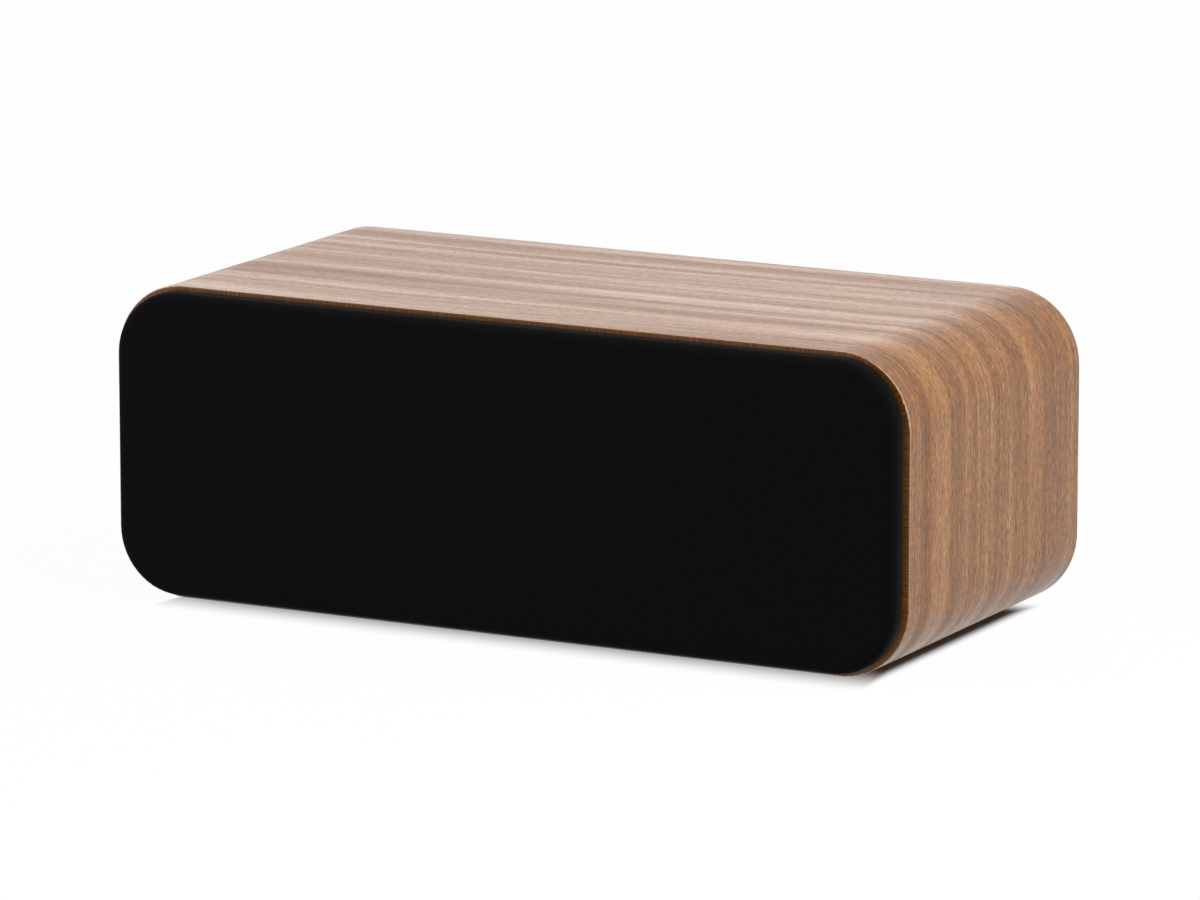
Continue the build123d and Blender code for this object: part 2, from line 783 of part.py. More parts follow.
# Terminal panel: a plate with a drafted dish, whose floor carries the two stems
floor_thickness = dish_wall
plate_face_plane = rear_face_plane.offset(terminal_plate_thickness)
stem_x = terminal_spacing / 2
with BuildPart(rear_face_plane) as terminal_panel:
    with BuildSketch(rear_face_plane):
        RectangleRounded(terminal_plate_width, terminal_plate_height, terminal_plate_corner)
    extrude(amount=terminal_plate_thickness)
    with BuildSketch(rear_face_plane):
        RectangleRounded(dish_width + 2 * dish_wall, dish_height + 2 * dish_wall, dish_corner + dish_wall)
    extrude(amount=-(dish_depth + floor_thickness - terminal_plate_thickness), taper=dish_draft)
    with BuildSketch(plate_face_plane):
        RectangleRounded(dish_width, dish_height, dish_corner)
    extrude(amount=-dish_depth, taper=dish_draft, mode=Mode.SUBTRACT)
    with Locations((-stem_x, 0), (stem_x, 0)):
        Hole(stem_radius + thread_fit)
    with Locations(*terminal_screw_places):
        Hole(screw_radius + screw_fit)
write(terminal_panel.part, "terminal_panel")

with BuildPart(plate_face_plane) as terminal_screws:
    with BuildSketch(plate_face_plane):
        with Locations(*terminal_screw_places):
            Circle(screw_head_radius)
    extrude(amount=terminal_screw_head_height)
    fillet(terminal_screws.edges().group_by(Axis.Y)[-1], radius=terminal_screw_head_height / 2)
    with BuildSketch(plate_face_plane):
        with Locations(*terminal_screw_places):
            Circle(screw_radius)
    extrude(amount=-screw_length)
write(terminal_screws.part, "terminal_screws")

# Stems, inserts and caps: distances run outwards from the dish's floor
stud_length = floor_thickness + board_thickness + nut_thickness + stud_spare
cap_start = stem_collar_height + cap_gap
cap_end = dish_depth + cap_proud
insert_start = cap_end - cap_end_wall - cap_gap - insert_length
post_sides = {"red": -1, "black": 1}
for colour, direction in post_sides.items():
    post_x = direction * stem_x
    post_section = Plane(origin=(post_x, dish_floor_y, axis_z), x_dir=(1, 0, 0), z_dir=(0, 0, 1))
    post_axis = along_y(post_x)

    with BuildPart() as stem:
        with BuildSketch(post_section):
            ring(0, stem_radius, -stud_length, stem_length)
            ring(0, stem_collar_radius, 0, stem_collar_height)
            ring(0, socket_radius, stem_length - socket_length, stem_length, mode=Mode.SUBTRACT)
        revolve(axis=post_axis)
        with BuildSketch(post_section):
            with Locations((0, stem_collar_height + 2 * wire_hole_radius)):
                Circle(wire_hole_radius)
        extrude(amount=stem_radius, both=True, mode=Mode.SUBTRACT)
    write(stem.part, f"terminal_stem_{colour}")

    with BuildPart() as insert:
        with BuildSketch(post_section):
            ring(stem_radius + thread_fit, insert_radius, insert_start, insert_start + insert_length)
        revolve(axis=post_axis)
    write(insert.part, f"terminal_insert_{colour}")

    with BuildPart() as cap:
        with BuildSketch(post_section):
            ring(insert_radius + thread_fit, cap_radius, cap_start, cap_end)
            ring(cap_plug_hole_radius, cap_radius, cap_end - cap_end_wall, cap_end)
        revolve(axis=post_axis)
        ends = cap.edges().filter_by(GeomType.CIRCLE).group_by(SortBy.RADIUS)[-1]
        chamfer(ends, length=cap_edge_chamfer)
        cap_foot = (post_x, dish_floor_y + cap_start, axis_z)
        with BuildSketch(Plane(origin=cap_foot, x_dir=(1, 0, 0), z_dir=(0, 1, 0))):
            with PolarLocations(cap_radius + cap_flute_radius / 2, cap_flute_count):
                Circle(cap_flute_radius)
        extrude(amount=cap_end - cap_start, mode=Mode.SUBTRACT)
    write(cap.part, f"terminal_cap_{colour}")

# Crossover board, clamped behind the dish by a nut on each stem
post_places = [(-stem_x, 0), (stem_x, 0)]
with BuildPart(board_plane) as crossover_board:
    with BuildSketch(board_plane):
        Rectangle(board_width, board_height)
        with Locations(*post_places):
            Circle(stem_radius + thread_fit, mode=Mode.SUBTRACT)
    extrude(amount=-board_thickness)
write(crossover_board.part, "crossover_board")

with BuildPart(board_plane) as terminal_nuts:
    with BuildSketch(board_plane):
        with Locations(*post_places):
            RegularPolygon(nut_across_flats / 2, 6, major_radius=False)
            Circle(stem_radius + thread_fit, mode=Mode.SUBTRACT)
    extrude(amount=nut_thickness)
write(terminal_nuts.part, "terminal_nuts")

# Crossover parts stand on the board: coils below the nuts, capacitors and resistors above them
coil_x = board_width / 2 - part_edge_gap - inductor_radius
coil_z = part_edge_gap + inductor_radius - board_height / 2
capacitor_x = board_width / 2 - part_edge_gap - capacitor_length / 2
capacitor_z = nut_across_flats / 2 + part_edge_gap + capacitor_radius
resistor_z = capacitor_z + capacitor_radius + part_edge_gap + resistor_width / 2
resistor_x = part_edge_gap + 4 * lead_radius + resistor_length / 2
with BuildPart(board_plane) as crossover_inductors:
    with BuildSketch(board_plane):
        with Locations((-coil_x, coil_z), (coil_x, coil_z)):
            Circle(inductor_radius)
            Circle(inductor_bore_radius, mode=Mode.SUBTRACT)
    extrude(amount=inductor_height)
    with BuildSketch(board_plane.offset(inductor_cheek)):
        with Locations((-coil_x, coil_z), (coil_x, coil_z)):
            Circle(inductor_radius)
            Circle(inductor_radius - inductor_cheek_lip, mode=Mode.SUBTRACT)
    extrude(amount=inductor_height - 2 * inductor_cheek, mode=Mode.SUBTRACT)
write(crossover_inductors.part, "crossover_inductors")

with BuildPart() as crossover_capacitors:
    for place_x in (-capacitor_x, capacitor_x):
        middle = (place_x, board_face_y - capacitor_radius, axis_z + capacitor_z)
        with BuildSketch(Plane(origin=middle, x_dir=(0, 1, 0), z_dir=(1, 0, 0))):
            Circle(capacitor_radius)
        extrude(amount=capacitor_length / 2, both=True)
    fillet(crossover_capacitors.edges().filter_by(GeomType.CIRCLE), radius=capacitor_round)
write(crossover_capacitors.part, "crossover_capacitors")

with BuildPart(board_plane) as crossover_resistors:
    with BuildSketch(board_plane):
        with Locations((-resistor_x, resistor_z), (resistor_x, resistor_z)):
            Rectangle(resistor_length, resistor_width)
    extrude(amount=resistor_width)
write(crossover_resistors.part, "crossover_resistors")


# Leads: each leaves the board's face and ends on its driver, on straight runs joined by wide arcs
def make_lead(points):
    route = [Vector(*point) for point in points]
    radii = []
    for before, corner, after in zip(route, route[1:], route[2:]):
        turn = (corner - before).get_angle(after - corner)
        shorter = min((corner - before).length, (after - corner).length)
        radii.append(0.45 * shorter / tan(radians(turn / 2)))
    with BuildPart() as lead:
        with BuildLine() as path:
            FilletPolyline(*route, radius=radii)
        with BuildSketch(Plane(origin=route[0], z_dir=route[1] - route[0])):
            Circle(lead_radius)
        sweep()
    length = sum(edge.length for edge in path.edges())
    print("lead", round(length, 1), "mm, radii", [round(radius, 1) for radius in radii])
    return lead.part


lead_z = axis_z + resistor_z
lead_x = resistor_x + resistor_length / 2 + part_edge_gap + lead_radius
basket_side_x = woofer_x - basket_cup_radius - lead_contact_gap
basket_side_y = front_y + landing_depth + lead_radius + landing_thickness
window_middle_y = baffle_back_y + brace_window_margin + window_depth / 2
for side, direction in sides.items():
    woofer_lead = make_lead([
        (direction * lead_x, board_face_y, lead_z),
        (direction * lead_x, board_face_y - lead_exit, lead_z),
        (direction * (brace_x - lead_brace_run), window_middle_y + window_depth / 4, axis_z + resistor_z / 2),
        (direction * (brace_x + lead_brace_run), window_middle_y - window_depth / 4, axis_z + resistor_z / 4),
        (direction * (basket_side_x - lead_approach), basket_side_y, axis_z),
        (direction * basket_side_x, basket_side_y, axis_z),
    ])
    write(woofer_lead, f"lead_woofer_{side}")

chamber_back_y = front_y + chamber_back
tweeter_lead = make_lead([
    (0, board_face_y, lead_z),
    (0, board_face_y - lead_exit, lead_z),
    (lead_sway, (board_face_y + chamber_back_y) / 2, axis_z + resistor_z / 2),
    (0, chamber_back_y + lead_approach, axis_z),
    (0, chamber_back_y, axis_z),
])
write(tweeter_lead, "lead_tweeter")

# Wadding: a folded pad on the floor of the chamber that has no port
wadding_x = -woofer_x
wadding_y = rear_inner_y - wadding_gap - wadding_depth / 2
with BuildPart() as wadding:
    with BuildSketch(Plane(origin=(wadding_x, wadding_y, foot_height + wall + wadding_gap))):
        RectangleRounded(wadding_length, wadding_depth, wadding_round)
    extrude(amount=wadding_height)
    fillet(wadding.faces().sort_by(Axis.Z)[-1].edges(), radius=wadding_round / 2)
write(wadding.part, "wadding")
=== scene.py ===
import math

import bpy
import numpy as np
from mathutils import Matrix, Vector, noise


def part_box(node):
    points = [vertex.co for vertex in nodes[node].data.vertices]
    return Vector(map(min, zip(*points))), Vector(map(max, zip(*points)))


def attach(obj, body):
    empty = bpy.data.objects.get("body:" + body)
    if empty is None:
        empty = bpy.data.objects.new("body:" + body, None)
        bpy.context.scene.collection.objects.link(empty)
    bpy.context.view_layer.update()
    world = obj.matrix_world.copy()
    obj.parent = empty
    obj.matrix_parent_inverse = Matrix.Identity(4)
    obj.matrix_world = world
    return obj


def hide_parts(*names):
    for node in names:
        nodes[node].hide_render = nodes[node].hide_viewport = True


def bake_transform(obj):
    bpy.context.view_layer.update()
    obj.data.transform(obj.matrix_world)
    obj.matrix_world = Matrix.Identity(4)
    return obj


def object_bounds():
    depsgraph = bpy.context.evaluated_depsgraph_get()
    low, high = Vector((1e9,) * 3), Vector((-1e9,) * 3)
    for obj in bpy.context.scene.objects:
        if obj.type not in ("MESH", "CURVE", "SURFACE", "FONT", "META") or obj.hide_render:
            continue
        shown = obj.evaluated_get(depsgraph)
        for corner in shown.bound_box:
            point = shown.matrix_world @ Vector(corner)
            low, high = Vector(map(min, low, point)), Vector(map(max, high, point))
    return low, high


# The dressed center channel speaker: finishes for every piece, and the soft pieces as meshes
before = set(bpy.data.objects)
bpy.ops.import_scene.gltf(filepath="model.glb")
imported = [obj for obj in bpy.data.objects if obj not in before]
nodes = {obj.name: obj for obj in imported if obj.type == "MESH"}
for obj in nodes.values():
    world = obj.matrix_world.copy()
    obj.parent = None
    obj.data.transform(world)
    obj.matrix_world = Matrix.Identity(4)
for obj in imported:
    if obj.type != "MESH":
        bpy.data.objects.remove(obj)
cad_low, cad_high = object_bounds()
scene = bpy.context.scene

wrap_low, wrap_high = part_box("cabinet_wrap")
HALF_WIDTH = (wrap_high.x - wrap_low.x) / 2
HALF_HEIGHT = (wrap_high.z - wrap_low.z) / 2
AXIS_Z = (wrap_high.z + wrap_low.z) / 2
CORNER = 0.037  # the radius of the wrap's corners, which the frame doesn't give


def srgb(red, green, blue):
    """A colour as read off a screen, as the linear colour that a shader takes."""
    def linear(value):
        value /= 255
        return value / 12.92 if value <= 0.04045 else ((value + 0.055) / 1.055) ** 2.4
    return (linear(red), linear(green), linear(blue), 1)


class Finish:
    """One material's node tree, written as expressions."""

    def __init__(self, name, **sockets):
        self.material = bpy.data.materials.new(name)
        self.material.use_nodes = True
        self.tree = self.material.node_tree
        self.shader = self.tree.nodes["Principled BSDF"]
        for socket, value in sockets.items():
            self.put(self.shader.inputs[socket.replace("_", " ")], value)

    def put(self, socket, value):
        if isinstance(value, bpy.types.NodeSocket):
            self.tree.links.new(value, socket)
        else:
            socket.default_value = value

    def set(self, socket, value):
        self.put(self.shader.inputs[socket], value)

    def node(self, kind, **settings):
        node = self.tree.nodes.new("ShaderNode" + kind)
        for key, value in settings.items():
            setattr(node, key, value)
        return node

    def place(self):
        """The point on the surface, in metres, in the piece's own frame."""
        return self.node("TexCoord").outputs["Object"]

    def split(self, vector):
        node = self.node("SeparateXYZ")
        self.put(node.inputs[0], vector)
        return node.outputs

    def join(self, x=0.0, y=0.0, z=0.0):
        node = self.node("CombineXYZ")
        for socket, value in zip(node.inputs, (x, y, z)):
            self.put(socket, value)
        return node.outputs[0]

    def math(self, operation, *values):
        node = self.node("Math", operation=operation)
        for socket, value in zip(node.inputs, values):
            self.put(socket, value)
        return node.outputs[0]

    def remap(self, value, low, high, to_low=0.0, to_high=1.0):
        node = self.node("MapRange", interpolation_type="SMOOTHSTEP")
        for socket, number in zip(node.inputs, (value, low, high, to_low, to_high)):
            self.put(socket, number)
        return node.outputs[0]

    def noise(self, vector, scale=1.0, detail=2.0, roughness=0.5, distortion=0.0):
        node = self.node("TexNoise")
        values = {"Vector": vector, "Scale": scale, "Detail": detail,
                  "Roughness": roughness, "Distortion": distortion}
        for name, value in values.items():
            self.put(node.inputs[name], value)
        return node.outputs[0]

    def mix(self, factor, first, second, blend="MIX"):
        node = self.node("Mix", data_type="RGBA", blend_type=blend)
        for index, value in ((0, factor), (6, first), (7, second)):
            self.put(node.inputs[index], value)
        return node.outputs[2]

    def ramp(self, factor, *stops):
        node = self.node("ValToRGB")
        elements = node.color_ramp.elements
        for element in list(elements)[1:]:
            elements.remove(element)
        elements[0].position, elements[0].color = stops[0]
        for position, colour in stops[1:]:
            elements.new(position).color = colour
        self.put(node.inputs[0], factor)
        return node.outputs[0]

    def bump(self, height, distance, strength=1.0):
        node = self.node("Bump")
        self.put(node.inputs["Strength"], strength)
        self.put(node.inputs["Distance"], distance)
        self.put(node.inputs["Height"], height)
        self.set("Normal", node.outputs[0])


GRAIN_SLANT = 0.035
GRAIN_WAVER = 0.004
GRAIN_SKEW = 0.6


def walnut_veneer():
    """Wood whose grain runs round the wrap's girth: along the top, round each bend, down the sides."""
    f = Finish("walnut_veneer")
    x, y, z = f.split(f.place())
    flat_x = HALF_WIDTH - CORNER
    flat_z = HALF_HEIGHT - CORNER
    half_girth = flat_x + CORNER * math.pi / 2 + flat_z
    out = f.math("ABSOLUTE", x)
    rise = f.math("SUBTRACT", z, AXIS_Z)
    up = f.math("ABSOLUTE", rise)
    past_x = f.math("MAXIMUM", f.math("SUBTRACT", out, flat_x), 0.0)
    past_z = f.math("MAXIMUM", f.math("SUBTRACT", up, flat_z), 0.0)
    turned = f.math("SUBTRACT", math.pi / 2, f.math("ARCTAN2", past_z, past_x))
    along_top = f.math("MINIMUM", out, flat_x)
    down_side = f.math("SUBTRACT", flat_z, f.math("MINIMUM", up, flat_z))
    upper = f.math("ADD", f.math("MULTIPLY_ADD", turned, CORNER, along_top), down_side)
    lower = f.math("SUBTRACT", 2 * half_girth, upper)
    below = f.math("LESS_THAN", rise, 0.0)
    girth = f.math("MULTIPLY_ADD", below, f.math("SUBTRACT", lower, upper), upper)
    along = f.math("MULTIPLY", girth, f.math("SIGN", x))

    # All the grain slants a little one way and then the other, and each line wavers by itself
    slant = f.noise(f.join(f.math("MULTIPLY", along, 2.6), 0.0, 3.7), detail=1.0)
    waver = f.noise(
        f.join(f.math("MULTIPLY", along, 11.0), f.math("MULTIPLY", y, 16.0), 8.1), detail=1.0
    )
    across = f.math("MULTIPLY_ADD", f.math("SUBTRACT", slant, 0.5), GRAIN_SLANT, y)
    across = f.math("MULTIPLY_ADD", f.math("SUBTRACT", waver, 0.5), GRAIN_WAVER, across)

    def streaks(along_scale, across_scale, seed, detail, roughness=0.55, skew=0.0):
        """Noise drawn out along the grain; a skew cuts across its lattice, so that none shows."""
        u = f.math("MULTIPLY", along, along_scale)
        v = f.math("MULTIPLY", across, across_scale)
        w = f.math("MULTIPLY_ADD", f.math("ADD", u, v), skew, seed)
        return f.noise(f.join(u, v, w), detail=detail, roughness=roughness)

    def add(total, gain, value):
        """The total, moved up or down by a noise's distance from its middle."""
        return f.math("MULTIPLY_ADD", f.math("SUBTRACT", value, 0.5), gain, total)

    figure = streaks(1.1, 17, 9.0, 1)
    bands = streaks(1.6, 66, 0.0, 2)
    ribbons = streaks(3.2, 190, 17.0, 2)
    lines = streaks(14, 640, 11.0, 3, 0.6)
    fibres = streaks(60, 1700, 23.0, 2, skew=GRAIN_SKEW)
    specks = streaks(260, 1080, 67.0, 2, skew=GRAIN_SKEW)
    pores = f.remap(streaks(140, 1080, 41.0, 2, skew=GRAIN_SKEW), 0.60, 0.72)
    flecks = f.remap(streaks(160, 650, 57.0, 1, skew=GRAIN_SKEW), 0.62, 0.76)

    tone = add(0.5, 0.3, figure)
    tone = add(tone, 0.9, bands)
    tone = add(tone, 0.3, ribbons)
    tone = add(tone, 0.85, lines)
    tone = add(tone, 1.0, fibres)
    wood = f.ramp(
        tone,
        (0.05, srgb(88, 50, 20)),
        (0.32, srgb(126, 78, 35)),
        (0.52, srgb(151, 98, 46)),
        (0.72, srgb(174, 119, 60)),
        (0.95, srgb(205, 151, 86)),
    )
    warm = f.remap(streaks(1.6, 42, 31.0, 2), 0.50, 0.70, 0.0, 0.4)
    wood = f.mix(warm, wood, srgb(184, 119, 58))
    cool = f.remap(streaks(1.3, 28, 53.0, 2), 0.50, 0.70, 0.0, 0.25)
    wood = f.mix(cool, wood, srgb(136, 92, 64))
    wood = f.mix(1.0, wood, add(1.0, 3.0, specks), "MULTIPLY")
    wood = f.mix(f.math("MULTIPLY", pores, 0.45), wood, srgb(82, 52, 34))
    wood = f.mix(f.math("MULTIPLY", flecks, 0.3), wood, srgb(214, 166, 112))

    # The front and back rims show the board's edge, stained dark, with its grain across the rim
    normal = f.split(f.node("NewGeometry").outputs["Normal"])
    facing = f.math("ABSOLUTE", normal[1])
    strokes = f.noise(f.join(f.math("MULTIPLY", along, 900), f.math("MULTIPLY", y, 20), 71.0), detail=3)
    rim = f.ramp(
        strokes,
        (0.30, srgb(74, 38, 4)),
        (0.50, srgb(116, 67, 16)),
        (0.70, srgb(156, 99, 34)),
    )
    wood = f.mix(f.remap(facing, 0.70, 0.85), wood, rim)
    # Painted highlight: a pale line along the rounded edges between the rims and the veneered faces,
    # where light catches them
    painted_edge_highlight = f.math("MULTIPLY", f.remap(facing, 0.15, 0.4), f.remap(facing, 0.85, 0.6))
    wood = f.mix(f.math("MULTIPLY", painted_edge_highlight, 0.7), wood, srgb(222, 190, 156))
    f.set("Base Color", wood)

    gloss = add(f.math("MULTIPLY", lines, 0.3), 1.0, bands)
    f.set("Roughness", f.remap(gloss, -0.10, 0.40, 0.46, 0.26))
    height = f.math("SUBTRACT", f.math("MULTIPLY", fibres, 0.25), pores)
    f.bump(height, 0.00004, 0.35)
    return f.material


def flat_black(name, base, lift, grain, depth, roughness, **sockets):
    """A dark moulded or painted surface with an even fine grain."""
    f = Finish(name, **sockets)
    place = f.place()
    fine = f.noise(place, grain, 3, 0.55)
    broad = f.noise(place, 14, 2)
    f.set("Base Color", f.mix(f.remap(fine, 0.3, 0.7), base, lift))
    f.set("Roughness", f.remap(broad, 0.3, 0.7, roughness - 0.05, roughness + 0.05))
    f.bump(fine, depth, 0.6)
    return f.material


def brushed(name, dark, light, roughness, scale=(60, 2500, 60), **sockets):
    """Machined metal, with fine marks round its axis."""
    f = Finish(name, Metallic=1.0, **sockets)
    x, y, z = f.split(f.place())
    marks = f.noise(
        f.join(f.math("MULTIPLY", x, scale[0]), f.math("MULTIPLY", y, scale[1]),
               f.math("MULTIPLY", z, scale[2])),
        detail=3,
    )
    f.set("Base Color", f.mix(f.remap(marks, 0.3, 0.7), dark, light))
    f.set("Roughness", f.remap(marks, 0.3, 0.7, roughness - 0.06, roughness + 0.06))
    f.bump(marks, 0.00002, 0.3)
    return f.material


def grille_cloth():
    """Black acoustic knit: a lattice of small open stitches."""
    f = Finish("grille_cloth", Roughness=0.95, Specular_IOR_Level=0.06)
    f.set("Sheen Weight", 0.04)
    f.set("Sheen Roughness", 0.35)
    f.set("Sheen Tint", srgb(204, 204, 210))
    x, y, z = f.split(f.place())
    pitch = 0.0011
    first = f.math("ADD", x, y)
    second = f.math("ADD", z, y)
    turn = math.pi / pitch
    wave_a = f.math("SINE", f.math("MULTIPLY", f.math("ADD", first, second), turn))
    wave_b = f.math("SINE", f.math("MULTIPLY", f.math("SUBTRACT", first, second), turn))
    stitch = f.math("MULTIPLY", wave_a, wave_b)
    yarn = f.noise(f.place(), 1100, 3, 0.6)
    open_stitch = f.remap(stitch, 0.15, 0.85)
    tone = f.mix(f.remap(yarn, 0.3, 0.7), srgb(9, 9, 9), srgb(18, 18, 18))
    f.set("Base Color", f.mix(f.math("MULTIPLY", open_stitch, 0.75), tone, srgb(6, 6, 7)))
    height = f.math("MULTIPLY_ADD", yarn, 0.3, f.math("MULTIPLY", open_stitch, -1.0))
    f.bump(height, 0.00018, 0.5)
    return f.material


def rubber(name, base, lift, roughness):
    f = Finish(name, Specular_IOR_Level=0.4)
    place = f.place()
    bloom = f.noise(place, 45, 3)
    fine = f.noise(place, 3000, 2)
    f.set("Base Color", f.mix(f.remap(bloom, 0.35, 0.7), base, lift))
    f.set("Roughness", f.remap(fine, 0.3, 0.7, roughness - 0.04, roughness + 0.06))
    f.bump(fine, 0.00003, 0.4)
    return f.material


def woven(name, dark, light, pitch, **sockets):
    """A plain weave seen along the axis of a driver, or from above."""
    f = Finish(name, Roughness=0.85, Specular_IOR_Level=0.2, **sockets)
    x, y, z = f.split(f.place())
    turn = math.pi / pitch
    over = f.math("SINE", f.math("MULTIPLY", f.math("ADD", x, y), turn))
    under = f.math("SINE", f.math("MULTIPLY", f.math("ADD", z, y), turn))
    weave = f.math("ABSOLUTE", f.math("MULTIPLY", over, under))
    slub = f.noise(f.place(), 900, 2)
    f.set("Base Color", f.mix(f.math("MULTIPLY", weave, slub), dark, light))
    f.bump(weave, pitch / 6, 0.6)
    return f.material


def cone_finish():
    """Coated paper: fine fibres and a soft even gloss."""
    f = Finish("cone_black", Specular_IOR_Level=0.35)
    place = f.place()
    fibre = f.noise(place, 1500, 4, 0.65, 0.4)
    cloud = f.noise(place, 60, 2)
    f.set("Base Color", f.mix(f.remap(fibre, 0.35, 0.7), srgb(20, 20, 21), srgb(33, 33, 34)))
    f.set("Roughness", f.remap(cloud, 0.3, 0.7, 0.46, 0.58))
    f.bump(fibre, 0.00006, 0.5)
    return f.material


def winding(name, dark, light, pitch, **sockets):
    """Enamelled wire, wound turn against turn along Y."""
    f = Finish(name, Metallic=1.0, Roughness=0.3, **sockets)
    x, y, z = f.split(f.place())
    turns = f.math("ABSOLUTE", f.math("SINE", f.math("MULTIPLY", y, math.pi / pitch)))
    tone = f.noise(f.place(), 300, 2)
    f.set("Base Color", f.mix(f.math("MULTIPLY", turns, f.remap(tone, 0.2, 0.8, 0.6, 1)), dark, light))
    f.bump(turns, pitch / 3, 0.8)
    return f.material


def speckled(name, base, spots, scale, low, high, roughness, depth=0.00005, **sockets):
    """A plain body with a scatter of a second tone."""
    f = Finish(name, **sockets)
    place = f.place()
    spread = f.noise(place, scale, 4, 0.6)
    f.set("Base Color", f.mix(f.remap(spread, low, high), base, spots))
    f.set("Roughness", f.remap(spread, 0.3, 0.7, roughness, roughness + 0.12))
    f.bump(spread, depth, 0.5)
    return f.material


def capacitor_film():
    """A film roll in a yellow wrap, with grey resin at its two ends."""
    f = Finish("capacitor_film", Coat_Weight=0.3, Coat_Roughness=0.15)
    x, y, z = f.split(f.place())
    normal = f.split(f.node("NewGeometry").outputs["Normal"])
    ends = f.remap(f.math("ABSOLUTE", normal[0]), 0.6, 0.8)
    turns = f.noise(f.join(f.math("MULTIPLY", x, 900), 0.0, 0.0), detail=2)
    wrap = f.mix(f.remap(turns, 0.35, 0.65, 0.0, 0.3), srgb(205, 160, 45), srgb(168, 122, 28))
    resin = f.mix(f.noise(f.place(), 700, 3), srgb(96, 92, 86), srgb(128, 122, 114))
    f.set("Base Color", f.mix(ends, wrap, resin))
    f.set("Roughness", f.remap(turns, 0.3, 0.7, 0.32, 0.45))
    f.bump(turns, 0.00003, 0.3)
    return f.material


def wadding_finish():
    f = Finish("wadding_white", Roughness=0.95, Specular_IOR_Level=0.1)
    f.set("Sheen Weight", 0.3)
    place = f.place()
    tangle = f.noise(place, 260, 6, 0.7, 1.5)
    f.set("Base Color", f.mix(f.remap(tangle, 0.3, 0.7), srgb(196, 194, 188), srgb(238, 237, 232)))
    f.bump(tangle, 0.0012, 0.8)
    return f.material


BLACK = srgb(18, 18, 19)
SOOT = srgb(30, 30, 31)
finishes = {
    "walnut_veneer": walnut_veneer(),
    "black_board": flat_black("black_board", BLACK, SOOT, 1500, 0.00010, 0.62, Specular_IOR_Level=0.3),
    "bare_board": speckled("bare_board", srgb(168, 134, 96), srgb(122, 92, 62), 900, 0.45, 0.75, 0.8),
    "foot_rubber": rubber("foot_rubber", srgb(16, 16, 17), srgb(27, 27, 28), 0.8),
    "grille_cloth": grille_cloth(),
    "frame_plastic": flat_black("frame_plastic", srgb(17, 17, 18), srgb(27, 27, 28), 1100, 0.00006, 0.5),
    "magnet_metal": brushed("magnet_metal", srgb(150, 150, 152), srgb(196, 196, 198), 0.28),
    "basket_metal": flat_black("basket_metal", srgb(22, 22, 23), srgb(36, 36, 37), 800, 0.00008, 0.45),
    "surround_rubber": rubber("surround_rubber", srgb(15, 15, 16), srgb(26, 26, 27), 0.52),
    "cone_black": cone_finish(),
    "spider_cloth": woven("spider_cloth", srgb(128, 88, 40), srgb(196, 150, 84), 0.0009),
    "coil_copper": winding("coil_copper", srgb(120, 60, 30), srgb(205, 120, 70), 0.0005),
    "motor_steel": brushed("motor_steel", srgb(128, 130, 134), srgb(176, 178, 182), 0.38),
    "ferrite": speckled("ferrite", srgb(38, 38, 41), srgb(62, 62, 66), 500, 0.5, 0.75, 0.6),
    "trim_black": flat_black("trim_black", srgb(14, 14, 15), srgb(22, 22, 23), 1300, 0.00004, 0.36),
    "screw_black": brushed("screw_black", srgb(40, 40, 42), srgb(64, 64, 67), 0.4, (700, 700, 700)),
    "dome_cloth": woven("dome_cloth", srgb(16, 16, 18), srgb(40, 40, 44), 0.0004, Coat_Weight=0.2),
    "moulded_black": flat_black(
        "moulded_black", srgb(19, 19, 20), srgb(29, 29, 30), 1700, 0.00008, 0.55
    ),
    "terminal_gold": brushed("terminal_gold", srgb(206, 160, 78), srgb(240, 200, 116), 0.22),
    "cap_red": flat_black(
        "cap_red", srgb(150, 16, 18), srgb(178, 26, 26), 400, 0.00003, 0.3, Coat_Weight=0.3
    ),
    "cap_black": flat_black("cap_black", BLACK, SOOT, 400, 0.00003, 0.3, Coat_Weight=0.3),
    "circuit_board": speckled("circuit_board", srgb(28, 84, 48), srgb(40, 104, 62), 300, 0.4, 0.7, 0.42),
    "capacitor_film": capacitor_film(),
    "resistor_cement": speckled(
        "resistor_cement", srgb(206, 202, 192), srgb(176, 170, 160), 700, 0.5, 0.8, 0.85
    ),
    "lead_sheath": rubber("lead_sheath", srgb(28, 28, 30), srgb(46, 46, 48), 0.55),
    "wadding_white": wadding_finish(),
}


